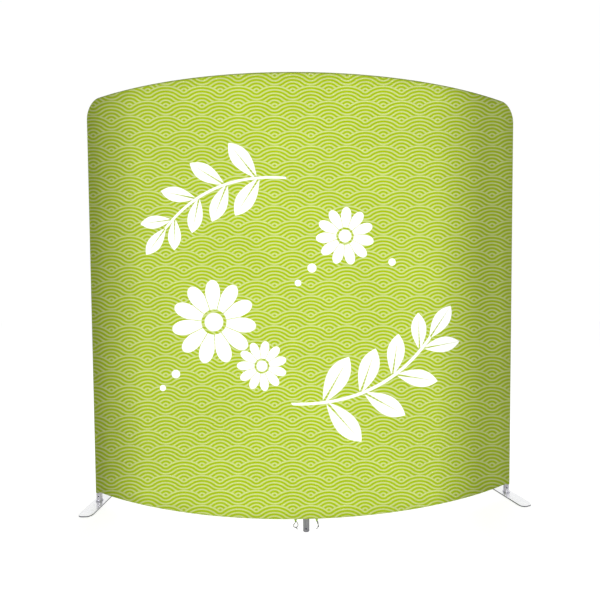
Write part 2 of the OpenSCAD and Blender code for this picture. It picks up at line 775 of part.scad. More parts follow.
// Two plates joined by a post at the open end, with an eye for the cord below.
module zip_slider() {
  nose = slider_l / 2;
  on_arc(slider_angle) translate([0, 0, zip_z]) {
    for (z = [slider_plate_z, -slider_plate_z - slider_t]) translate([0, 0, z])
      linear_extrude(slider_t) intersection() {
        square([slider_l, slider_w], center = true);
        circle(nose);
      }
    translate([slider_post_d - nose, 0, -slider_plate_z - slider_t / 2])
      cylinder(d = slider_post_d, h = 2 * slider_plate_z + slider_t);
    translate([0, eye_t / 2, -slider_plate_z - slider_t / 2]) rotate([90, 0, 0])
      linear_extrude(eye_t) difference() {
        union() {
          polygon([[-nose + 1, 0], [nose - 1, 0], [eye_hole_r + eye_rim, -eye_drop],
            [-eye_hole_r - eye_rim, -eye_drop]]);
          translate([0, -eye_drop]) circle(eye_hole_r + eye_rim);
        }
        translate([0, -eye_drop]) circle(eye_hole_r);
      }
  }
}
module zip_slider_left() color("yellowgreen") half(-1) zip_slider();
module zip_slider_right() color("yellowgreen") half(1) zip_slider();

// A cord loop through the slider's eye, with its knot and one tail.
module pull_cord(side, loop, knot, tail) {
  x = arc_r * sin(slider_angle);
  y = arc_r * (1 - cos(slider_angle));
  color("black") translate([side * x, y, eye_z]) {
    swept_cord(loop, cord_d / 2);
    swept_cord(tail, cord_d / 2);
    translate(knot) sphere(knot_r, $fn = 12);
  }
}

module pull_cord_left() pull_cord(-1, left_cord, left_knot, left_tail);
module pull_cord_right() pull_cord(1, right_cord, right_knot, right_tail);

left_upright_lower();
left_upright_upper();
right_upright_lower();
right_upright_upper();
centre_upright_lower();
centre_upright_upper();
top_left_elbow();
top_right_elbow();
top_rail_left();
top_rail_right();
top_tee();
bottom_rail_left();
bottom_rail_right();
left_rail_stub();
right_rail_stub();
centre_stub_left();
centre_stub_right();
left_sleeve();
right_sleeve();
centre_sleeve();
sleeve_rivets();
snap_strips();
left_foot_post();
right_foot_post();
left_foot_screw();
right_foot_screw();
left_base_plate();
right_base_plate();
left_foot_mat();
right_foot_mat();
centre_foot_plug();
left_foot_button();
right_foot_button();
centre_foot_button();
left_mid_button();
right_mid_button();
centre_mid_button();
left_elbow_button_lower();
left_elbow_button_upper();
right_elbow_button_lower();
right_elbow_button_upper();
tee_button_left();
tee_button_right();
tee_button_lower();
left_stub_button();
right_stub_button();
centre_stub_button_left();
centre_stub_button_right();
cover_front();
cover_back();
zip_tape_front();
zip_tape_back();
zip_chain_left();
zip_chain_right();
zip_slider_left();
zip_slider_right();
pull_cord_left();
pull_cord_right();
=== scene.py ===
import bpy
import bmesh
import numpy as np
from math import pi, sin, cos, acos, radians, sqrt
from mathutils import Matrix, Vector

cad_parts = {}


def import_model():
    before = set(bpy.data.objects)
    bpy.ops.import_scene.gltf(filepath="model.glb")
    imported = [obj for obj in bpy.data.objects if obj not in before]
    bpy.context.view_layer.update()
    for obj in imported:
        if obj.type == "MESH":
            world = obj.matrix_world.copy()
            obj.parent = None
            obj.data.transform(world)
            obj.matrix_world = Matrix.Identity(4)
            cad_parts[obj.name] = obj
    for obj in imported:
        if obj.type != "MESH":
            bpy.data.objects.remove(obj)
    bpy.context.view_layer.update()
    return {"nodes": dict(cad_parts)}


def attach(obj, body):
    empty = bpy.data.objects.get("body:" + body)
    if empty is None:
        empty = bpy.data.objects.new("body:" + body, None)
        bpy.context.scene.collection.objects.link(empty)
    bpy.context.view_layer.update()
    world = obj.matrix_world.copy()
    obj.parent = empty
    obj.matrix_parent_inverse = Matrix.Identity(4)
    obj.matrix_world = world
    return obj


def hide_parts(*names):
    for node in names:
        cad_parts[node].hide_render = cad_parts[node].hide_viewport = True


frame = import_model()
nodes = frame["nodes"]
scene = bpy.context.scene
print("frame loaded")

# What a user would change first, in metres and radians.
wall = {
    "arcRadius": 2.380, "endAngle": radians(28.2), "cornerRadius": 0.090,
    "topRail": 2.2825, "bottomFold": 0.0795, "clothRadius": 0.017, "clothThickness": 0.001,
    "seamTurn": radians(32), "seamGap": 0.0006, "slotHalf": 0.0068,
    "openingHalf": 0.054, "openingWidth": 0.0128,
}
halfArc = wall["arcRadius"] * wall["endAngle"]
bendStart = wall["topRail"] - wall["cornerRadius"]
# The cloth's grid: steps of columns and rows, finer near the middle leg and the ends, and its fold.
clothGrid = {
    "column": 0.019, "row": 0.024, "fine": 0.0025, "medium": 0.0075, "corner": 0.010,
    "fineTo": 0.030, "mediumTo": 0.075, "endBand": 0.03, "rollStep": radians(9), "folds": 9,
    "hemDrop": 0.12, "farFromSeam": 0.2,
}
# The camera, in metres, radians and millimetres of lens.
view = {
    "place": (0.0, -2.008, 1.225), "yaw": 0.0306, "pitch": 0.0332, "roll": -0.0057,
    "lens": 24.0, "sensor": 36, "shiftX": -0.0283, "shiftY": 0.0067, "farthest": 60,
}
# The print: rows of arcs about dots, squashed in height. Lengths are in the picture's pixels.
waves = {
    "period": 36.243, "row": 14.974, "dotX": 274.61, "dotY": 374.85,
    "squash": 1.223, "step": 3.46, "arcs": 4.984, "cover": 2.57, "lineFrom": -0.62, "lineTo": 0.08,
    "middleX": 317, "middleY": 304, "scale": 400,
}
# White sprigs and daisies printed over the arcs: middle in the picture's pixels, size and turn.
motifs = {
    "sprigs": [(292, 404, 178, radians(-31)), (286, 178, 152, radians(152))],
    "daisies": [(214, 322, 42, 0.1), (262, 366, 25, 0.3), (345, 236, 29, 0.2)],
    "dots": [(312, 268, 4.4), (298, 283, 3.2), (176, 374, 4.2), (163, 388, 3.0), (392, 262, 3.6)],
    "petals": 11, "petalRoot": 0.42, "petalPower": 0.45, "ring": 0.285, "middle": 0.2,
    "leafPairs": 4, "leafWidth": 0.52, "ribWidth": 0.03, "leafEdge": 0.012,
    "stemBend": 0.16, "stemWidth": 0.004, "stemEnd": 0.86, "tipAt": 0.85, "tipSize": 0.22,
    "firstLeaf": 0.16, "leafSpan": 0.62, "leafTurn": 0.95, "leafSize": 0.30, "petalGap": 0.055,
}
# The cloth's surface: its knit in metres, how far its shade varies, and how deep it is.
knit = {
    "rib": 0.0011, "cloudScale": 2.4, "cloudShade": 0.05, "ribShade": 0.06, "ribDepth": 0.0002,
    "pullDepth": 0.004, "roughness": (0.92, 0.78), "sheen": 0.06, "specular": 0.12,
}


def viewAxes():
    yaw, pitch, roll = view["yaw"], view["pitch"], view["roll"]
    right = Vector((cos(yaw), -sin(yaw), 0))
    up = Vector((sin(yaw) * sin(pitch), cos(yaw) * sin(pitch), cos(pitch)))
    ahead = Vector((sin(yaw) * cos(pitch), cos(yaw) * cos(pitch), -sin(pitch)))
    return cos(roll) * right + sin(roll) * up, cos(roll) * up - sin(roll) * right, ahead


def inScene(name, data):
    item = bpy.data.objects.new(name, data)
    scene.collection.objects.link(item)
    return item


def makeCamera():
    data = bpy.data.cameras.new("camera")
    data.lens = view["lens"]
    data.sensor_width = view["sensor"]
    data.shift_x = view["shiftX"]
    data.shift_y = view["shiftY"]
    data.clip_end = view["farthest"]
    camera = inScene("camera", data)
    right, up, ahead = viewAxes()
    turn = Matrix((right, up, -ahead)).transposed().to_4x4()
    camera.matrix_world = Matrix.Translation(view["place"]) @ turn
    scene.camera = camera


makeCamera()


signs = {"+": "ADD", "-": "SUBTRACT", "*": "MULTIPLY", "/": "DIVIDE"}


# Short forms for building one node tree.
class Net:
    def __init__(self, tree):
        self.tree = tree

    def put(self, kind, values=None, **settings):
        node = self.tree.nodes.new(kind)
        for key, value in settings.items():
            setattr(node, key, value)
        for key, value in (values or {}).items():
            self.feed(node.inputs[key], value)
        return node

    def feed(self, socket, value):
        if isinstance(value, bpy.types.NodeSocket):
            self.tree.links.new(value, socket)
        elif value is not None:
            socket.default_value = value

    def math(self, operation, a, b=None):
        kind = signs.get(operation, operation)
        return self.put("ShaderNodeMath", {0: a, 1: b}, operation=kind).outputs[0]

    def soft(self, value, low, high, fromValue=0.0, toValue=1.0):
        values = {"Value": value, "From Min": low, "From Max": high,
                  "To Min": fromValue, "To Max": toValue}
        return self.put("ShaderNodeMapRange", values, interpolation_type="SMOOTHSTEP").outputs[0]

    def mix(self, amount, a, b):
        return self.put("ShaderNodeMix", {0: amount, 6: a, 7: b}, data_type="RGBA").outputs[2]

    def noise(self, vector, scale, detail=3.0, rough=0.5):
        values = {"Vector": vector, "Scale": scale, "Detail": detail, "Roughness": rough}
        return self.put("ShaderNodeTexNoise", values).outputs["Fac"]

    def placed(self, vector, scale):
        return self.put("ShaderNodeMapping", {"Vector": vector, "Scale": scale}).outputs[0]

    def split(self, vector):
        return self.put("ShaderNodeSeparateXYZ", {0: vector}).outputs

    def bump(self, height, strength, distance, normal=None):
        values = {"Height": height, "Strength": strength, "Distance": distance, "Normal": normal}
        return self.put("ShaderNodeBump", values).outputs[0]


def linear(red, green, blue):
    def one(value):
        value /= 255
        return value / 12.92 if value <= 0.04045 else ((value + 0.055) / 1.055) ** 2.4
    return (one(red), one(green), one(blue), 1.0)


# A shader group that takes vectors and gives values, each listed by name in one string.
def newGroup(name, inputs, outputs):
    group = bpy.data.node_groups.new(name, "ShaderNodeTree")
    for way, kind, labels in (("INPUT", "NodeSocketVector", inputs),
                              ("OUTPUT", "NodeSocketFloat", outputs)):
        for label in labels.split():
            group.interface.new_socket(name=label, in_out=way, socket_type=kind)
    net = Net(group)
    return group, net, net.put("NodeGroupInput").outputs, net.put("NodeGroupOutput").inputs


def newMaterial(name):
    material = bpy.data.materials.new(name)
    material.use_nodes = True
    net = Net(material.node_tree)
    shader = material.node_tree.nodes["Principled BSDF"]
    return material, net, shader


def useGroup(net, group, **values):
    return net.put("ShaderNodeGroup", values, node_tree=group).outputs


# Rows of overlapping arcs. Tile is x in periods and y in rows, downwards.
def waveGroup():
    group, net, given, result = newGroup("waveArcs", "Tile", "Line")
    m = net.math
    x, y, _ = net.split(given["Tile"])
    half, row = waves["period"] / 2 / waves["squash"], waves["row"]
    crest = waves["arcs"] * waves["step"]
    trough = sqrt(half * half + row * row) - crest
    first = m("FLOOR", m("+", y, 1 - (trough - waves["cover"]) / row))

    def level(number):
        # How far inside a row's outer line: round its own dot above, round the next dots below.
        shift = m("-", x, m("*", m("FLOORED_MODULO", number, 2.0), 0.5))
        across = m("*", m("ABSOLUTE", m("-", shift, m("ROUND", shift))), 2 * half)
        down = m("*", m("-", y, number), row)
        own = m("SQRT", m("+", m("*", across, across), m("*", down, down)))
        side, rise = m("-", half, across), m("+", down, row)
        other = m("SQRT", m("+", m("*", side, side), m("*", rise, rise)))
        above = m("LESS_THAN", m("+", m("*", down, half), m("*", across, row)), 0.0)
        inside, outside = m("-", crest, own), m("-", other, trough)
        return m("+", outside, m("*", above, m("-", inside, outside)))

    behind, before = level(first), level(m("+", first, 1.0))
    covered = m("GREATER_THAN", before, -waves["cover"])
    depth = m("+", behind, m("*", covered, m("-", before, behind)))
    line = m("COSINE", m("*", depth, 2 * pi / waves["step"]))
    net.feed(result["Line"], net.soft(line, waves["lineFrom"], waves["lineTo"]))
    return group


# Fine stretch knit: ribs one way, stitches across them. Place is in metres on the cloth.
def weaveGroup():
    group, net, given, result = newGroup("fineKnit", "Place", "Height Shade")
    m = net.math
    x, y, _ = net.split(given["Place"])
    ribs = m("/", x, knit["rib"])
    courses = m("+", m("/", y, knit["rib"]), m("*", m("FLOOR", ribs), 0.5))
    rib = m("ABSOLUTE", m("SINE", m("*", ribs, pi)))
    stitch = m("ABSOLUTE", m("SINE", m("*", courses, pi)))
    height = m("*", rib, m("+", 0.55, m("*", stitch, 0.45)))
    cloudy = net.noise(given["Place"], knit["cloudScale"], 4.0, 0.55)
    net.feed(result["Height"], height)
    net.feed(result["Shade"], net.soft(cloudy, 0.3, 0.7))
    return group


# Long soft streaks for drawn metal, and a mask for handling marks.
def wearGroup():
    group, net, given, result = newGroup("drawnMetal", "Place Stretch", "Streak Mark Height")
    node = net.put("ShaderNodeVectorMath", {0: given["Place"], 1: given["Stretch"]},
                   operation="MULTIPLY")
    streak = net.noise(node.outputs[0], 1.0, 5.0, 0.65)
    net.feed(result["Streak"], net.soft(streak, 0.32, 0.68))
    net.feed(result["Mark"], net.soft(net.noise(given["Place"], 38.0, 4.0, 0.6), 0.52, 0.72))
    net.feed(result["Height"], streak)
    return group


# One leaf along X from 0 to 1, split by its midrib.
def leafGroup():
    group, net, given, result = newGroup("leafShape", "Place", "Mask")
    m = net.math
    x, y, _ = net.split(given["Place"])
    bulge = m("*", x, m("-", 1.0, m("*", x, x)))
    wide = m("*", bulge, motifs["leafWidth"])
    across, edge = m("ABSOLUTE", y), motifs["leafEdge"]
    body = net.soft(m("-", wide, across), -edge, edge)
    midrib = m("*", m("-", 0.9, x), motifs["ribWidth"])
    rib = net.soft(m("-", across, midrib), -edge, edge)
    ahead = m("GREATER_THAN", x, 0.0)
    net.feed(result["Mask"], m("*", m("*", body, rib), ahead))
    return group


# A daisy of unit radius: petals, a bare ring and a round middle.
def daisyGroup():
    group, net, given, result = newGroup("daisyShape", "Place", "Mask")
    m = net.math
    x, y, _ = net.split(given["Place"])
    far = m("SQRT", m("+", m("*", x, x), m("*", y, y)))
    turn = m("*", m("ARCTAN2", y, x), motifs["petals"] / 2)
    lobe = m("ABSOLUTE", m("COSINE", turn))
    root = motifs["petalRoot"]
    rim = m("+", root, m("*", m("POWER", lobe, motifs["petalPower"]), 1 - root))
    petals = net.soft(m("-", rim, far), -0.02, 0.02)
    split = net.soft(m("-", m("*", lobe, far), motifs["petalGap"]), -0.015, 0.015)
    ring = net.soft(far, motifs["ring"], motifs["ring"] + 0.035)
    middle = net.soft(far, motifs["middle"], motifs["middle"] + 0.035, 1.0, 0.0)
    outer = m("*", m("*", petals, split), ring)
    net.feed(result["Mask"], m("MAXIMUM", outer, middle))
    return group


leafShape = leafGroup()
daisyShape = daisyGroup()


# Coordinates of a motif that is turned and sized about its place.
def moved(net, vector, place, turn, size):
    values = {"Vector": vector, "Location": (*place, 0), "Rotation": (0, 0, turn),
              "Scale": (size, size, 1)}
    return net.put("ShaderNodeMapping", values, vector_type="TEXTURE").outputs[0]


# A stem along X from 0 to 1 with pairs of leaves and one at its tip.
def sprigGroup():
    group, net, given, result = newGroup("sprigShape", "Place", "Mask")
    m = net.math
    x, y, _ = net.split(given["Place"])
    rise = 4 * motifs["stemBend"]

    def leaf(mask, at, shift, turn, size):
        place = (at + shift, rise * at * (1 - at))
        local = moved(net, given["Place"], place, rise * (1 - 2 * at) + turn, size)
        return m("MAXIMUM", mask, useGroup(net, leafShape, Place=local)["Mask"])

    curve = m("*", m("*", x, m("-", 1.0, x)), rise)
    gap = m("ABSOLUTE", m("-", y, curve))
    stem = net.soft(gap, motifs["stemWidth"], 3 * motifs["stemWidth"], 1.0, 0.0)
    inside = m("*", m("GREATER_THAN", x, 0.0), m("LESS_THAN", x, motifs["stemEnd"]))
    mask = m("*", stem, inside)
    pairs = motifs["leafPairs"]
    for k in range(pairs):
        at = motifs["firstLeaf"] + motifs["leafSpan"] * k / (pairs - 1)
        turn, size = motifs["leafTurn"] - 0.08 * k, motifs["leafSize"] - 0.03 * k
        for side in (-1, 1):
            mask = leaf(mask, at, 0.01 * side, side * turn, size)
    net.feed(result["Mask"], leaf(mask, motifs["tipAt"], 0.0, 0.0, motifs["tipSize"]))
    return group


sprigShape = sprigGroup()


# All the white motifs, laid out on the flat print.
def motifGroup():
    group, net, given, result = newGroup("whiteMotifs", "Tile", "Mask")
    m = net.math
    x, y, _ = net.split(given["Tile"])
    flat = net.put("ShaderNodeCombineXYZ")
    net.feed(flat.inputs[0], m("+", m("*", x, waves["period"]), waves["dotX"]))
    net.feed(flat.inputs[1], m("+", m("*", y, waves["row"]), waves["dotY"]))
    flat, mask = flat.outputs[0], 0.0
    for shape, items in ((sprigShape, motifs["sprigs"]), (daisyShape, motifs["daisies"])):
        for px, py, size, turn in items:
            local = moved(net, flat, (px, py), turn, size)
            mask = m("MAXIMUM", mask, useGroup(net, shape, Place=local)["Mask"])
    for px, py, size in motifs["dots"]:
        far = net.put("ShaderNodeVectorMath", {0: flat, 1: (px, py, 0)}, operation="DISTANCE")
        dot = net.soft(far.outputs["Value"], size - 0.4, size + 0.4, 1.0, 0.0)
        mask = m("MAXIMUM", mask, dot)
    net.feed(result["Mask"], mask)
    return group


whiteMotifs = motifGroup()
waveArcs = waveGroup()
fineKnit = weaveGroup()
drawnMetal = wearGroup()
print("shader groups made")


def attribute(net, name):
    node = net.put("ShaderNodeAttribute", attribute_type="GEOMETRY", attribute_name=name)
    return node.outputs


def objectPlace(net):
    return net.put("ShaderNodeTexCoord").outputs["Object"]


# The seam colour is a darker copy of the green, used as painted shadow along the seam and painted
# shade along the cloth's edges.
clothColours = {
    "line": linear(147, 170, 8), "ground": linear(183, 194, 123), "seam": linear(92, 104, 22),
    "white": linear(250, 250, 248),
}
# How dark the painted shadow along the seam and the painted shade along the cloth's edges are, and
# how wide the soft band of painted shade along each edge.
clothEdges = {
    "seamFrom": 0.0022, "seamTo": 0.0066, "seamDark": 0.68, "past": 0.02,
    "sideWide": 0.13, "sideDark": 0.2, "topWide": 0.062, "lowWide": 0.06, "endDark": 0.19,
}


def clothMaterial(name, motif=False):
    material, net, shader = newMaterial(name)
    m = net.math
    tile = attribute(net, "printTile")["Vector"]
    place = attribute(net, "clothPlace")["Vector"]
    seam = attribute(net, "seamDistance")["Fac"]
    line = useGroup(net, waveArcs, Tile=tile)["Line"]
    weave = useGroup(net, fineKnit, Place=place)
    colour = net.mix(line, clothColours["ground"], clothColours["line"])
    if motif:
        white = useGroup(net, whiteMotifs, Tile=tile)["Mask"]
        colour = net.mix(white, colour, clothColours["white"])
    shade = m("+", 0.965, m("*", weave["Shade"], knit["cloudShade"]))
    # Painted shade: the knit's grooves are darker than its ribs.
    shade = m("*", shade, m("+", 0.955, m("*", weave["Height"], knit["ribShade"])))
    dye = net.put("ShaderNodeHueSaturation", {"Color": colour, "Value": shade})
    # Painted shade: a painted shadow along the seam, and painted shade in soft bands along the
    # sides, top and bottom, all mixed towards the seam colour.
    look, past = clothEdges, clothEdges["past"]
    edge = net.soft(seam, look["seamFrom"], look["seamTo"], look["seamDark"], 0.0)
    along, height, _ = net.split(place)
    end, top, low = halfArc + wall["cornerRadius"], wall["topRail"], wall["bottomFold"]
    side = net.soft(m("ABSOLUTE", along), end - look["sideWide"], end + past, 0.0, look["sideDark"])
    upper = net.soft(height, top - look["topWide"], top + past, 0.0, look["endDark"])
    lower = net.soft(height, low - past, low + look["lowWide"], look["endDark"], 0.0)
    edge = m("MAXIMUM", m("MAXIMUM", edge, side), m("MAXIMUM", upper, lower))
    net.feed(shader.inputs["Base Color"], net.mix(edge, dye.outputs[0], clothColours["seam"]))
    pull = net.noise(net.placed(place, (7.0, 0.9, 1.0)), 1.0, 2.0, 0.5)
    broad = net.bump(pull, 0.25, knit["pullDepth"])
    net.feed(shader.inputs["Normal"], net.bump(weave["Height"], 0.35, knit["ribDepth"], broad))
    net.feed(shader.inputs["Roughness"], net.soft(weave["Height"], 0.0, 1.0, *knit["roughness"]))
    shader.inputs["Sheen Weight"].default_value = knit["sheen"]
    shader.inputs["Sheen Roughness"].default_value = 0.5
    shader.inputs["Specular IOR Level"].default_value = knit["specular"]
    return material


def metalMaterial(name, low, high, roughness, stretch, metallic=1.0, mark=None, bumpDepth=0.00008,
                  sides=None):
    material, net, shader = newMaterial(name)
    m = net.math
    wear = useGroup(net, drawnMetal, Place=objectPlace(net), Stretch=stretch)
    colour = net.mix(wear["Streak"], linear(*low), linear(*high))
    if mark is not None:
        colour = net.mix(m("*", wear["Mark"], 0.5), colour, linear(*mark))
    # Painted shade: faces that don't face up take the darker sides colour.
    if sides is not None:
        upward = net.split(net.put("ShaderNodeNewGeometry").outputs["Normal"])[2]
        colour = net.mix(net.soft(upward, 0.25, 0.85, 1.0, 0.0), colour, linear(*sides))
    net.feed(shader.inputs["Base Color"], colour)
    shader.inputs["Metallic"].default_value = metallic
    net.feed(shader.inputs["Roughness"], m("+", roughness, m("*", wear["Mark"], 0.14)))
    net.feed(shader.inputs["Normal"], net.bump(wear["Height"], 0.3, bumpDepth))
    return material


def plasticMaterial(name, base, worn, roughness, grain=900.0, depth=0.00006, coat=0.0):
    material, net, shader = newMaterial(name)
    place = objectPlace(net)
    cloudy = net.noise(place, 22.0, 4.0, 0.6)
    grainy = net.noise(place, grain, 2.0, 0.6)
    colour = net.mix(net.soft(cloudy, 0.35, 0.75), linear(*base), linear(*worn))
    net.feed(shader.inputs["Base Color"], colour)
    roughness = net.math("+", roughness, net.math("*", cloudy, 0.15))
    net.feed(shader.inputs["Roughness"], roughness)
    net.feed(shader.inputs["Normal"], net.bump(grainy, 0.5, depth))
    shader.inputs["Coat Weight"].default_value = coat
    return material


# Twisted or braided yarn: slanting ridges from two crossed waves.
def threadMaterial(name, base, dark, twist=0.0016, sheen=0.3):
    material, net, shader = newMaterial(name)
    m = net.math
    place = objectPlace(net)
    x, y, z = net.split(place)
    first = m("SINE", m("*", m("+", z, m("+", x, y)), 2 * pi / twist))
    second = m("SINE", m("*", m("-", z, m("+", x, y)), 2 * pi / twist))
    ridge = m("MAXIMUM", first, second)
    fuzz = net.noise(place, 2500.0, 2.0, 0.7)
    # Painted shade: the grooves between the twists take the dark colour, broken by random fuzz.
    amount = net.soft(m("+", ridge, m("*", fuzz, 0.6)), -0.6, 1.4)
    net.feed(shader.inputs["Base Color"], net.mix(amount, linear(*dark), linear(*base)))
    shader.inputs["Roughness"].default_value = 0.85
    shader.inputs["Sheen Weight"].default_value = sheen
    net.feed(shader.inputs["Normal"], net.bump(ridge, 0.6, 0.0003))
    return material


# The pull cords: diameter and eyes in metres, points from each eye in millimetres.
cords = {
    "diameter": 0.003,
    "left": [(0, -0.3, 0), (0, -3.2, -0.4), (-1.4, -5.8, -2.6), (-4, -6.6, -6.6),
             (-7.6, -5.6, -11.4), (-10.8, -3.6, -16.4), (-12.2, -1.4, -21.6), (-10.6, 0, -26.8),
             (-6.4, 0.6, -30.6), (-1, 0.4, -32.6), (4.6, 0, -31.6), (9.2, 0, -28.2),
             (11.8, 1, -23), (11.4, 3.2, -17.4), (8.8, 5.2, -12.2), (5.2, 6.4, -7.4),
             (2, 6, -3.2), (0.2, 3.4, -0.6), (0, 0.3, 0)],
    "leftKnot": (2, 0.3, -32.8),
    "leftTail": [(3.2, 0.4, -34.8), (5.4, 0.7, -37.4), (7.6, 1, -40), (9, 1, -42.6)],
    "right": [(0, -0.3, 0), (0.4, -3.2, -0.5), (1.8, -6.4, -3), (4, -9, -7.4),
              (6.4, -10.8, -12.6), (8.2, -11.2, -18), (8.8, -9.8, -23.4), (8.4, -6.4, -28),
              (7.6, -1.6, -30.8), (7.2, 3.6, -30.4), (7.4, 8, -27), (7.6, 10.6, -22),
              (6.8, 11.2, -16.2), (5, 10, -10.4), (2.8, 7.4, -5.2), (0.8, 4, -1.2), (0, 0.3, 0)],
    "rightKnot": (7.4, 0.6, -31.6),
    "rightTail": [(6.6, 0.6, -33.6), (4.6, 0.4, -36.8), (1.4, 0, -39.8), (-2.6, 0, -42.4)],
    "eyeX": 0.053995, "eyeY": 0.000613, "eyeZ": 0.0485,
    "tubeSides": 12, "endRound": 0.35, "knotTurns": 1.45, "knotPoints": 30,
    "knotSize": (0.0019, 0.0018, 0.0013), "knotRise": 0.0012,
}


def cordCurve(name, points, diameter, material):
    data = bpy.data.curves.new(name, "CURVE")
    data.dimensions = "3D"
    data.bevel_depth = diameter / 2
    data.bevel_resolution = 3
    data.resolution_u = 6
    data.use_fill_caps = True
    spline = data.splines.new("POLY")
    spline.points.add(len(points) - 1)
    for slot, point in zip(spline.points, points):
        slot.co = (*point, 1)
    data.materials.append(material)
    return inScene(name, data)


# A closer row of points along a smooth curve through the given ones.
def smoothPath(points, between=4):
    points = np.array(points, float)
    ends = np.vstack([2 * points[0] - points[1], points, 2 * points[-1] - points[-2]])
    out = []
    for i in range(1, len(ends) - 2):
        a, b, c, d = ends[i - 1:i + 3]
        for k in range(between):
            t = k / between
            out.append(0.5 * (2 * b + (c - a) * t + (2 * a - 5 * b + 4 * c - d) * t * t
                              + (3 * b - 3 * c + d - a) * t ** 3))
    out.append(points[-1])
    return [tuple(p) for p in out]


def meshObject(name, points, faces, material=None):
    mesh = bpy.data.meshes.new(name)
    mesh.from_pydata([tuple(p) for p in points], [], faces)
    mesh.validate()
    mesh.polygons.foreach_set("use_smooth", [True] * len(mesh.polygons))
    if material is not None:
        mesh.materials.append(material)
    return inScene(name, mesh)


# A closed tube along points, its ends rounded off.
def tubeMesh(name, points, radius, material):
    points = [Vector(p) for p in points]
    rings, faces, sides = [], [], cords["tubeSides"]
    normal = Vector((0.31, 0.95, 0.05)).normalized()
    for i, point in enumerate(points):
        ahead = (points[min(i + 1, len(points) - 1)] - points[max(i - 1, 0)]).normalized()
        normal = (normal - ahead * normal.dot(ahead)).normalized()
        side = ahead.cross(normal)
        for k in range(sides):
            a = 2 * pi * k / sides
            rings.append(point + (normal * cos(a) + side * sin(a)) * radius)
    count = len(points)
    for i in range(count - 1):
        for k in range(sides):
            a, b = i * sides + k, i * sides + (k + 1) % sides
            faces.append((a, b, b + sides, a + sides))
    for ring, end, other in ((0, points[0], points[1]),
                             ((count - 1) * sides, points[-1], points[-2])):
        tip = len(rings)
        rings.append(end + (end - other).normalized() * radius * cords["endRound"])
        for k in range(sides):
            a, b = ring + k, ring + (k + 1) % sides
            faces.append((a, b, tip) if ring else (b, a, tip))
    return meshObject(name, rings, faces, material)


cordYarn = threadMaterial("cordYarn", (20, 20, 21), (5, 5, 6), sheen=0.0)


def makeCord(side, name, knotAt, tail, body, node):
    eye = np.array([(-1 if side == "left" else 1) * cords["eyeX"], cords["eyeY"], cords["eyeZ"]])

    def world(points):
        return [tuple(eye + np.array(p) / 1000) for p in points]

    path = smoothPath(world(cords[side]), 2)
    loop = cordCurve(name + "Loop", path, cords["diameter"], cordYarn)
    ends = smoothPath(world(cords[tail]), 3)
    tailPiece = tubeMesh(name + "Tail", ends, cords["diameter"] / 2, cordYarn)
    middle = Vector(world([cords[knotAt]])[0])
    # An overhand knot: one and a half turns pulled close round the loop.
    turns = []
    wide, deep, high = cords["knotSize"]
    for k in range(cords["knotPoints"]):
        part = k / (cords["knotPoints"] - 1)
        t = 2 * pi * cords["knotTurns"] * part
        rise = high * sin(1.5 * t) + cords["knotRise"] * (part - 0.5)
        turns.append(middle + Vector((wide * cos(t), deep * sin(t), rise)))
    knot = tubeMesh(name + "Knot", turns, cords["diameter"] / 2, cordYarn)
    for piece in (loop, tailPiece, knot):
        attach(piece, body)
    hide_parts(node)


makeCord("left", "leftPull", "leftKnot", "leftTail", "slider_left", "pull_cord_left")
makeCord("right", "rightPull", "rightKnot", "rightTail", "slider_right", "pull_cord_right")
print("cords made")


# Place in plan at length s along the wall's centre line, offset towards the hollow side.
def planPoint(s, offset):
    s, offset = np.asarray(s, float), np.asarray(offset, float)
    on = np.clip(s, -halfArc, halfArc)
    past = s - on
    a = on / wall["arcRadius"]
    x = wall["arcRadius"] * np.sin(a) + past * np.cos(a) - offset * np.sin(a)
    y = wall["arcRadius"] * (1 - np.cos(a)) + past * np.sin(a) + offset * np.cos(a)
    return x, y


def spread(start, end, step):
    count = max(1, int(round(abs(end - start) / step)))
    return list(np.linspace(start, end, count + 1))[:-1]


def clothColumns():
    grid, end = clothGrid, halfArc + wall["cornerRadius"]
    band = end - grid["endBand"]
    half = spread(0, grid["fineTo"], grid["fine"])
    half += spread(grid["fineTo"], grid["mediumTo"], grid["medium"])
    half += spread(grid["mediumTo"], halfArc, grid["column"])
    half += spread(halfArc, band, grid["corner"]) + spread(band, end, grid["fine"]) + [end]
    return np.array([-s for s in reversed(half[1:])] + half)


def clothRows():
    return np.array(spread(wall["bottomFold"], bendStart, clothGrid["row"])
                    + spread(bendStart, wall["topRail"], clothGrid["corner"]) + [wall["topRail"]])


# Where the print's flat drawing lies on the cloth: seen square from the front.
def screenPlace(points):
    right, up, ahead = (np.array(v) for v in viewAxes())
    d = points - np.array(view["place"])
    far = d @ ahead
    scale = waves["scale"] / far
    return waves["middleX"] + scale * (d @ right), waves["middleY"] - scale * (d @ up)


def store(mesh, name, values):
    values = np.array(values, float)
    kind, field = ("FLOAT", "value") if values.ndim == 1 else ("FLOAT_VECTOR", "vector")
    mesh.attributes.new(name, kind, "POINT").data.foreach_set(field, values.ravel())


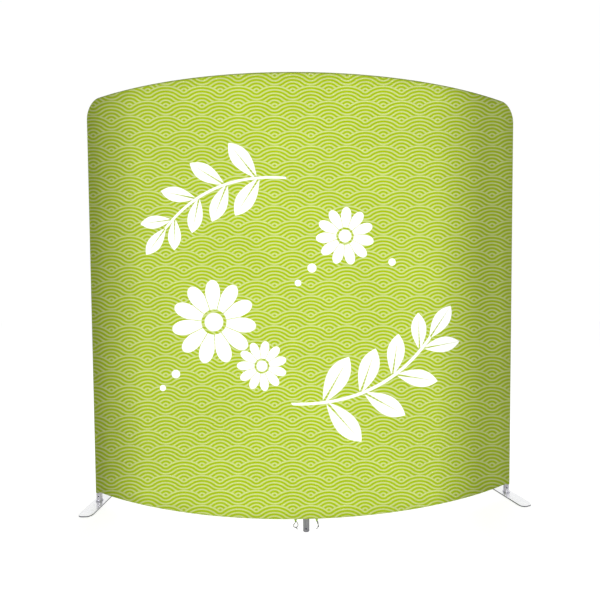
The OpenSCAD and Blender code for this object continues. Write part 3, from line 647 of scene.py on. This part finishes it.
# One panel: a flat grid, rolled over the tubes at the sides and top, folded under below.
def clothPanel(name, back, turn, material):
    r = wall["clothRadius"]
    face = 1 if back else -1
    corner, away = wall["cornerRadius"], clothGrid["farFromSeam"]
    columns, rows = clothColumns(), clothRows()
    flat, seams, points = [], [], []
    index = {}

    def spot(*key):
        return index[key]

    def add(key, s, z, offset, seam, drift=(0.0, 0.0)):
        index[key] = len(points)
        x, y = planPoint(s, offset)
        points.append((x, y, z))
        flat.append((s + drift[0], z + drift[1], 0.0))
        seams.append(seam)

    legs = (0.0, -halfArc - corner, halfArc + corner)

    def pushed(s, offset):
        for leg in legs:
            gap = sqrt((s - leg) ** 2 + offset ** 2)
            if gap < r - 1e-6:
                scale = r / max(gap, 1e-6)
                return leg + (s - leg) * scale, offset * scale
        return s, offset

    loopSide = {}
    for i, s in enumerate(columns):
        for j, z in enumerate(rows):
            u, w = s, z
            if abs(s) > halfArc and z > bendStart:
                p, q = (abs(s) - halfArc) / corner, (z - bendStart) / corner
                radius = max(p, q)
                angle = (pi / 4) * q / p if p >= q else pi / 2 - (pi / 4) * p / q
                u = (1 if s > 0 else -1) * (halfArc + corner * radius * cos(angle))
                w = bendStart + corner * radius * sin(angle)
            add(("m", i, j), u, w, face * r, away)
            loopSide[(i, j)] = (u, w)
    last, top = len(columns) - 1, len(rows) - 1
    border = [(0, j) for j in range(top + 1)] + [(i, top) for i in range(1, last + 1)]
    border += [(last, j) for j in range(top - 1, -1, -1)]
    layers = max(5, int(turn / clothGrid["rollStep"]))
    for n, (i, j) in enumerate(border):
        u, w = loopSide[(i, j)]
        over = (1 if u > 0 else -1) * max(abs(u) - halfArc, 0.0)
        out = np.array([over, max(w - bendStart, 0.0)])
        if w >= wall["topRail"] - 1e-6 and abs(u) <= halfArc:
            out = np.array([0.0, 1.0])
        out = out / np.linalg.norm(out)
        index[("r", n, 0)] = spot("m", i, j)
        for k in range(1, layers + 1):
            b = turn * k / layers
            du, dw = out * r * sin(b)
            add(("r", n, k), u + du, w + dw, face * r * cos(b), r * (turn - b),
                tuple(out * r * (b - sin(b))))
    # The lower fold: main columns, and the rolled sides carried straight down.
    folds = clothGrid["folds"]

    def lowAngle(s):
        width = wall["slotHalf"]
        if abs(s) < wall["openingHalf"]:
            width = max(width, wall["openingWidth"] * (1 - (s / wall["openingHalf"]) ** 2))
        return acos(width / r)

    def extraDrop(s):
        near = max(0.0, 1 - (legs[2] - abs(s)) / clothGrid["endBand"])
        return 1 + clothGrid["hemDrop"] * near * near

    for i, s in enumerate(columns):
        for k in range(1, folds + 1):
            a = lowAngle(s) * k / folds
            u, offset = pushed(s, face * r * cos(a))
            add(("f", i, k), u, wall["bottomFold"] - r * sin(a) * extraDrop(s), offset, away,
                (s - u, -r * (a - sin(a))))
    sideEnd = lowAngle(legs[2])
    for n in (0, len(border) - 1):
        for layer in range(1, layers + 1):
            x, y, z = points[spot("r", n, layer)]
            for k in range(1, folds + 1):
                a = sideEnd * k / folds
                index[("s", n, layer, k)] = len(points)
                points.append((x, y, wall["bottomFold"] - r * sin(a) * extraDrop(legs[2])))
                base = flat[spot("r", n, layer)]
                flat.append((base[0], base[1] - r * a, 0.0))
                seams.append(seams[spot("r", n, layer)])
    faces = []

    def quad(a, b, c, d):
        faces.append((a, b, c, d) if not back else (d, c, b, a))

    for i in range(last):
        for j in range(top):
            quad(spot("m", i, j), spot("m", i + 1, j), spot("m", i + 1, j + 1), spot("m", i, j + 1))
        for k in range(folds):
            up = [spot("f", i + e, k) if k else spot("m", i + e, 0) for e in (0, 1)]
            quad(spot("f", i, k + 1), spot("f", i + 1, k + 1), up[1], up[0])
    for n in range(len(border) - 1):
        for k in range(layers):
            quad(spot("r", n, k), spot("r", n + 1, k), spot("r", n + 1, k + 1), spot("r", n, k + 1))

    def sidePoint(n, column, layer, row):
        if layer == 0:
            return spot("f", column, row) if row else spot("m", column, 0)
        return spot("s", n, layer, row) if row else spot("r", n, layer)

    for n, column in ((0, 0), (len(border) - 1, last)):
        for layer in range(layers):
            for k in range(folds):
                steps = (layer, k + 1), (layer, k), (layer + 1, k), (layer + 1, k + 1)
                loop = [sidePoint(n, column, *step) for step in steps]
                quad(*(loop if n == 0 else loop[::-1]))
    piece = meshObject(name, points, faces, material)
    px, py = screenPlace(np.array(points))
    tile = np.stack([(px - waves["dotX"]) / waves["period"], (py - waves["dotY"]) / waves["row"],
                     np.zeros(len(px))], 1)
    for label, values in (("printTile", tile), ("clothPlace", flat), ("seamDistance", seams)):
        store(piece.data, label, values)
    return piece, thicken(piece, wall["clothThickness"])


# Turns the piece's modifiers into a plain mesh.
def bakeModifiers(piece):
    graph = bpy.context.evaluated_depsgraph_get()
    made = bpy.data.meshes.new_from_object(
        piece.evaluated_get(graph), preserve_all_data_layers=True, depsgraph=graph)
    piece.modifiers.clear()
    old = piece.data
    piece.data = made
    made.name = piece.name
    bpy.data.meshes.remove(old)


# Gives a sheet its thickness and returns the area it had as a single layer.
def thicken(piece, thickness):
    area = sum(p.area for p in piece.data.polygons)
    solid = piece.modifiers.new("thickness", "SOLIDIFY")
    solid.thickness = thickness
    solid.offset = 0
    bakeModifiers(piece)
    return area


seamBackTurn = pi - wall["seamTurn"] - wall["seamGap"] / wall["clothRadius"]
frontCloth = clothMaterial("printedFront", motif=True)
backCloth = clothMaterial("printedBack")
clothFront, areaFront = clothPanel("clothFront", False, wall["seamTurn"], frontCloth)
clothBack, areaBack = clothPanel("clothBack", True, seamBackTurn, backCloth)
print("cloth panels", len(clothFront.data.polygons), len(clothBack.data.polygons),
      round(areaFront, 4), round(areaBack, 4))


def clothSize(turn):
    r = wall["clothRadius"]
    half = halfArc + wall["cornerRadius"] + r * turn
    tall = wall["topRail"] - wall["bottomFold"] + r * turn + r * acos(wall["slotHalf"] / r)
    return 2 * half, tall


def declareCloth(piece, node, turn, area):
    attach(piece, "frame")
    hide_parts(node)
    flat = clothSize(turn)
    min(area, flat[0] * flat[1])


declareCloth(clothFront, "cover_front", wall["seamTurn"], areaFront)
declareCloth(clothBack, "cover_back", seamBackTurn, areaBack)

tapeCloth = threadMaterial("zipTapeWeave", (150, 176, 40), (84, 100, 20), 0.0012)
zipParts = {
    "innerRadius": 0.0152, "thickness": 0.0008, "tapeThickness": 0.0007, "width": 0.010,
    "gap": 0.0002, "chainHalf": 0.00235, "toothPitch": 0.0024, "height": 0.0639, "endGap": 0.012,
    "tapeStart": 0.0155, "tapeOpening": 0.0125, "tapeSteps": 6, "rowShift": 0.00095,
    "chainStart": 0.0525, "chainEnd": 0.001, "chainSink": 0.0001, "chainPoints": 80,
    "tooth": (0.0030, 0.0022, 0.0015),
}
zipEnd = halfArc - zipParts["endGap"]


# Woven tape under the slot, split at the opening like the cloth above it.
def tapeStrip(name, back, node):
    rMid = zipParts["innerRadius"] + zipParts["thickness"] / 2
    face = 1 if back else -1
    start = zipParts["chainHalf"] + zipParts["gap"]
    points, faces = [], []
    steps = zipParts["tapeSteps"]
    line = [zipParts["tapeStart"]] + spread(0.02, 0.06, 0.005) + spread(0.06, zipEnd, 0.03)
    line.append(zipEnd)
    for side in (-1, 1):
        base = len(points)
        for s in line:
            lens = wall["openingWidth"] * max(0.0, 1 - (s / wall["openingHalf"]) ** 2)
            first = min(max(start, lens), zipParts["tapeOpening"])
            for k in range(steps + 1):
                low = np.arcsin(first / rMid)
                high = np.arcsin(start / rMid) + zipParts["width"] / rMid
                a = low + (high - low) * k / steps
                x, y = planPoint(side * s, face * rMid * sin(a))
                points.append((x, y, wall["bottomFold"] - rMid * cos(a)))
        for i in range(len(line) - 1):
            for k in range(steps):
                a = base + i * (steps + 1) + k
                loop = (a, a + 1, a + steps + 2, a + steps + 1)
                faces.append(loop if (side > 0) == back else loop[::-1])
    piece = meshObject(name, points, faces, tapeCloth)
    area = thicken(piece, zipParts["tapeThickness"])
    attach(piece, "frame")
    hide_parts(node)


tapeStrip("zipTapeFront", False, "zip_tape_front")
tapeStrip("zipTapeBack", True, "zip_tape_back")
print("zip tapes made")


# Repeats shape along path with a small node tree, then keeps the plain mesh.
def scatterAlong(name, path, shape, spacing, material):
    tree = bpy.data.node_groups.new(name, "GeometryNodeTree")
    for label, way, kind in (("Geometry", "INPUT", "Geometry"), ("Spacing", "INPUT", "Float"),
                             ("Shape", "INPUT", "Object"), ("Material", "INPUT", "Material"),
                             ("Geometry", "OUTPUT", "Geometry")):
        tree.interface.new_socket(name=label, in_out=way, socket_type="NodeSocket" + kind)
    n = tree.nodes
    given, result = n.new("NodeGroupInput"), n.new("NodeGroupOutput")
    curve = n.new("GeometryNodeMeshToCurve")
    even = n.new("GeometryNodeResampleCurve")
    even.mode = "LENGTH"
    tangent = n.new("GeometryNodeInputTangent")
    alignX = n.new("FunctionNodeAxesToRotation")
    alignX.primary_axis, alignX.secondary_axis = "X", "Z"
    shapeInfo = n.new("GeometryNodeObjectInfo")
    repeat = n.new("GeometryNodeInstanceOnPoints")
    real = n.new("GeometryNodeRealizeInstances")
    paint = n.new("GeometryNodeSetMaterial")
    outward = n.new("GeometryNodeInputNamedAttribute")
    outward.data_type = "FLOAT_VECTOR"
    outward.inputs["Name"].default_value = "outward"
    for source, target in (
            (given.outputs["Geometry"], curve.inputs[0]), (curve.outputs[0], even.inputs["Curve"]),
            (given.outputs["Spacing"], even.inputs["Length"]),
            (even.outputs[0], repeat.inputs["Points"]),
            (given.outputs["Shape"], shapeInfo.inputs["Object"]),
            (shapeInfo.outputs["Geometry"], repeat.inputs["Instance"]),
            (tangent.outputs[0], alignX.inputs["Primary Axis"]),
            (outward.outputs[0], alignX.inputs["Secondary Axis"]),
            (alignX.outputs[0], repeat.inputs["Rotation"]), (repeat.outputs[0], real.inputs[0]),
            (real.outputs[0], paint.inputs["Geometry"]),
            (given.outputs["Material"], paint.inputs["Material"]),
            (paint.outputs[0], result.inputs[0])):
        tree.links.new(source, target)
    points, out = path
    mesh = bpy.data.meshes.new(name)
    edges = [(i, i + 1) for i in range(len(points) - 1)]
    mesh.from_pydata([tuple(p) for p in points], edges, [])
    store(mesh, "outward", out)
    piece = inScene(name, mesh)
    modifier = piece.modifiers.new("repeat", "NODES")
    modifier.node_group = tree
    values = {"Spacing": spacing, "Shape": shape, "Material": material}
    for item in tree.interface.items_tree:
        if item.in_out == "INPUT" and item.name in values:
            modifier[item.identifier] = values[item.name]
    bakeModifiers(piece)
    return piece


# A low rounded bar along X with its thick side towards Z.
def smallShape(name, across, thick, length):
    points, faces = [], []
    rows, sides, blunt = 4, 6, 0.12
    for i in range(rows):
        t = i / (rows - 1)
        size = sqrt(max(blunt, 1 - (2 * t - 1) ** 2 * (1 - blunt)))
        for k in range(sides):
            a = 2 * pi * k / sides
            points.append(((t - 0.5) * length,
                           cos(a) * across / 2 * size, sin(a) * thick / 2 * size))
    for i in range(rows - 1):
        for k in range(sides):
            a, b = i * sides + k, i * sides + (k + 1) % sides
            faces.append((a, b, b + sides, a + sides))
    faces.append(tuple(range(sides - 1, -1, -1)))
    faces.append(tuple(range((rows - 1) * sides, rows * sides)))
    return meshObject(name, points, faces)


threadYarn = threadMaterial("seamThread", (118, 138, 30), (70, 84, 16), 0.0008)
stitches = {
    "shape": (0.0007, 0.0006, 0.0030), "spacing": 0.0044, "lift": 0.0007,
    "seamInset": 0.0035, "slotInset": 0.003, "seamFoot": 0.066, "slotMargin": 0.004,
    "sidePoints": 40, "cornerPoints": 16, "topPoints": 90, "slotPoints": 60,
}
stitch = smallShape("stitchShape", *stitches["shape"])


# A path just off the cloth, and the direction out of the cloth at each of its points.
def lifted(at, line):
    low = wall["clothRadius"] + stitches["lift"]
    points = [at(low, *step) for step in line]
    return points, [(at(low + 0.001, *step) - p) * 1000 for step, p in zip(line, points)]


# The loop that runs inset from the seam, with the direction out of the cloth.
def seamPath(back, turn):
    r = wall["clothRadius"]
    face = 1 if back else -1
    corner, foot = wall["cornerRadius"], stitches["seamFoot"]
    b = turn - stitches["seamInset"] / r
    up = np.linspace(foot, bendStart, stitches["sidePoints"])
    bow = np.linspace(0, pi / 2, stitches["cornerPoints"])[1:]
    line = [(-halfArc - corner, z, -1.0, 0.0) for z in up]
    line += [(-halfArc - corner * cos(t), bendStart + corner * sin(t), -cos(t), sin(t))
             for t in bow]
    line += [(s, wall["topRail"], 0.0, 1.0)
             for s in np.linspace(-halfArc, halfArc, stitches["topPoints"])[1:]]
    line += [(halfArc + corner * sin(t), bendStart + corner * cos(t), sin(t), cos(t))
             for t in bow]
    line += [(halfArc + corner, z, 1.0, 0.0) for z in up[-2::-1]]

    def at(radius, s, z, os, oz):
        x, y = planPoint(s + os * radius * sin(b), face * radius * cos(b))
        return np.array([x, y, z + oz * radius * sin(b)])

    return lifted(at, line)


# A row of stitches along the edge of the slot, through cloth and tape.
def foldPath(back):
    r, margin = wall["clothRadius"], stitches["slotMargin"]
    face = 1 if back else -1
    a = acos(wall["slotHalf"] / r) - stitches["slotInset"] / r

    def at(radius, s):
        x, y = planPoint(s, face * radius * cos(a))
        return np.array([x, y, wall["bottomFold"] - radius * sin(a)])

    line = np.linspace(wall["openingHalf"] + margin, halfArc - margin, stitches["slotPoints"])
    return lifted(at, [(s,) for s in line])


stitchRows = {
    "seamStitchesFront": seamPath(False, wall["seamTurn"]),
    "seamStitchesBack": seamPath(True, seamBackTurn),
    "slotStitchesFront": foldPath(False),
    "slotStitchesBack": foldPath(True),
}
for name, path in stitchRows.items():
    row = scatterAlong(name, path, stitch, stitches["spacing"], threadYarn)
    if name.startswith("slot"):
        mirrored = inScene(name + "Left", row.data.copy())
        mirrored.data.transform(Matrix.Diagonal((-1, 1, 1, 1)))
        mirrored.data.flip_normals()
        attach(mirrored, "frame")
    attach(row, "frame")
bpy.data.objects.remove(stitch)
print("stitches made")

coilNylon = plasticMaterial("coilNylon", (120, 146, 30), (150, 176, 52), 0.35, 1400.0)
tooth = smallShape("toothShape", *zipParts["tooth"])


def chainPiece(name, sign, node):
    rows, shift = [], zipParts["rowShift"]
    count, pitch = zipParts["chainPoints"], zipParts["toothPitch"]
    for across, phase in ((-shift, 0.0), (shift, pitch / 2)):
        line = np.linspace(zipParts["chainStart"] + phase, zipEnd - zipParts["chainEnd"], count)
        x, y = planPoint(sign * line, across)
        height = zipParts["height"] - zipParts["chainSink"]
        points = np.stack([x, y, np.full(count, height)], 1)
        path = points, [(0, 0, -1)] * count
        rows.append(scatterAlong(name + str(len(rows)), path, tooth, pitch, coilNylon))
    joined = bmesh.new()
    for row in rows:
        joined.from_mesh(row.data)
    joined.to_mesh(rows[0].data)
    joined.free()
    rows[0].name = name
    bpy.data.objects.remove(rows[1])
    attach(rows[0], "frame")
    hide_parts(node)


chainPiece("coilLeft", -1, "zip_chain_left")
chainPiece("coilRight", 1, "zip_chain_right")
bpy.data.objects.remove(tooth)
print("zip coils made")

# Each metal: darker and lighter streak colour, roughness, streaks per metre, and its marks; the
# plate also takes a darker colour on its sides as painted shade, and the centre tube is a
# painted-shade copy of the drawn tube.
lengthwise = (900.0, 900.0, 6.0)
metals = {
    "drawnTube": metalMaterial("drawnTube", (132, 126, 144), (252, 252, 254), 0.24, lengthwise,
                               mark=(132, 124, 148)),
    "railTube": metalMaterial("railTube", (160, 158, 164), (222, 222, 226), 0.32, (8.0, 8.0, 900.0),
                              mark=(130, 126, 138)),
    "fitting": metalMaterial("turnedFitting", (140, 140, 146), (200, 200, 206), 0.34,
                             (300.0, 300.0, 1200.0)),
    "spring": metalMaterial("springSteel", (120, 122, 128), (170, 172, 178), 0.28,
                            (200.0, 200.0, 900.0)),
    # The plate's sides colour is painted shade on its edges.
    "plate": metalMaterial("rolledPlate", (240, 241, 243), (251, 251, 252), 0.26,
                           (14.0, 420.0, 420.0), metallic=0.85, mark=(222, 223, 226),
                           bumpDepth=0.00004, sides=(92, 92, 100)),
    # The centre leg is the same drawn tube in darker colours: painted shade.
    "centreTube": metalMaterial("centreTube", (96, 96, 102), (176, 176, 180), 0.34, lengthwise,
                                mark=(92, 90, 100)),
    "button": metalMaterial("buttonSteel", (60, 60, 66), (104, 104, 112), 0.25,
                            (500.0, 500.0, 500.0)),
}
matRubber = plasticMaterial("matRubber", (38, 38, 40), (60, 60, 62), 0.78, 500.0, 0.0002)
plugPlastic = plasticMaterial("plugPlastic", (70, 70, 74), (96, 96, 100), 0.5)
sliderPlastic = plasticMaterial("sliderPlastic", (118, 150, 14), (142, 172, 36), 0.34, coat=0.25)
# The first of these words that is in a node's name gives its finish.
finishes = [
    ("button", metals["button"]), ("foot_plug", plugPlastic), ("foot_mat", matRubber),
    ("base_plate", metals["plate"]), ("slider", sliderPlastic), ("strips", metals["spring"]),
    ("rivets", metals["spring"]), ("centre_upright", metals["centreTube"]),
    ("upright", metals["drawnTube"]), ("stub", metals["fitting"]), ("rail", metals["railTube"]),
    ("", metals["fitting"]),
]
for name, item in nodes.items():
    if name.startswith(("cover_", "zip_tape", "zip_chain", "pull_cord")):
        continue
    finish = next(made for word, made in finishes if word in name)
    for slot in item.material_slots:
        slot.material = finish
print("finishes assigned")

studio = {
    "worldLight": 0.554, "worldSeen": 0.456, "worldShine": 0.46, "floorLight": 0.32,
    "floorGlow": 0.315, "flagFar": 2.53, "flagLeft": -0.652, "flagRight": 0.231, "flagWide": 3.0,
    "flagHeight": (0.05, 4.4), "floorSink": 0.0004, "floorSides": (-14.0, 14.0),
    "floorDepth": (-8.0, 14.0), "paper": ((205, 205, 205), (212, 212, 212)),
}
# Each light: place, the point it faces, width and height, and power.
lights = {
    "keyFront": ((-0.33, -5.0, 1.15), (-0.33, 0.0, 1.2), (0.25, 3.0), 226),
    "sideSoft": ((4.2, -1.6, 1.3), (0.9, 0.1, 1.2), (1.6, 2.6), 20),
    "topSoft": ((0, 1.2, 5.2), (0, 0.6, 0), (6.0, 5.0), 100),
}


# A pale paper floor.
def makeStage():
    points = [(x, y, -studio["floorSink"])
              for y in studio["floorDepth"] for x in studio["floorSides"]]
    faces = [(0, 1, 3, 2)]
    material, net, shader = newMaterial("paperFloor")
    grain = net.noise(objectPlace(net), 60.0, 3.0, 0.6)
    tones = [linear(*tone) for tone in studio["paper"]]
    net.feed(shader.inputs["Base Color"], net.mix(net.soft(grain, 0.3, 0.7), *tones))
    shader.inputs["Roughness"].default_value = 0.9
    shader.inputs["Specular IOR Level"].default_value = 0.1
    shader.inputs["Emission Color"].default_value = (1, 1, 1, 1)
    seen = net.put("ShaderNodeLightPath").outputs["Is Camera Ray"]
    glow = net.math("+", studio["floorLight"], net.math("*", seen, studio["floorGlow"]))
    net.feed(shader.inputs["Emission Strength"], glow)
    floor = meshObject("paperFloor", points, faces, material)


def areaLight(name, place, aim, size, power):
    data = bpy.data.lights.new(name, "AREA")
    data.shape = "RECTANGLE"
    data.size, data.size_y = size
    data.energy = power
    data.spread = pi
    item = inScene(name, data)
    item.location = place
    item.rotation_euler = (Vector(aim) - Vector(place)).to_track_quat("-Z", "Y").to_euler()


makeStage()
for name, light in lights.items():
    areaLight(name, *light)


# Black cards behind the camera that keep the key light off the wall's ends.
def makeFlags():
    material, net, shader = newMaterial("blackCard")
    fibre = net.noise(objectPlace(net), 40.0)
    black = net.mix(fibre, (0.002, 0.002, 0.002, 1), (0.01, 0.01, 0.01, 1))
    net.feed(shader.inputs["Base Color"], black)
    y, wide, (low, high) = -studio["flagFar"], studio["flagWide"], studio["flagHeight"]
    for name, near, far in (("leftFlag", studio["flagLeft"], -wide),
                            ("rightFlag", studio["flagRight"], wide)):
        points = [(near, y, low), (far, y, low), (far, y, high), (near, y, high)]
        card = meshObject(name, points, [(0, 1, 2, 3)], material)
        card.visible_camera = card.visible_glossy = card.visible_diffuse = False


makeFlags()


# A white studio: full white to the eye, softer as light.
def makeWorld():
    world = bpy.data.worlds.new("studio")
    scene.world = world
    world.use_nodes = True
    net = Net(world.node_tree)
    back = world.node_tree.nodes["Background"]
    back.inputs["Color"].default_value = (1, 1, 1, 1)
    path = net.put("ShaderNodeLightPath").outputs
    extra = net.math("+", net.math("*", path["Is Camera Ray"], studio["worldSeen"]),
                     net.math("*", path["Is Glossy Ray"], studio["worldShine"]))
    net.feed(back.inputs["Strength"], net.math("+", studio["worldLight"], extra))


makeWorld()
scene.view_settings.view_transform = "Standard"
scene.view_settings.look = "None"
print("stage and lights made")
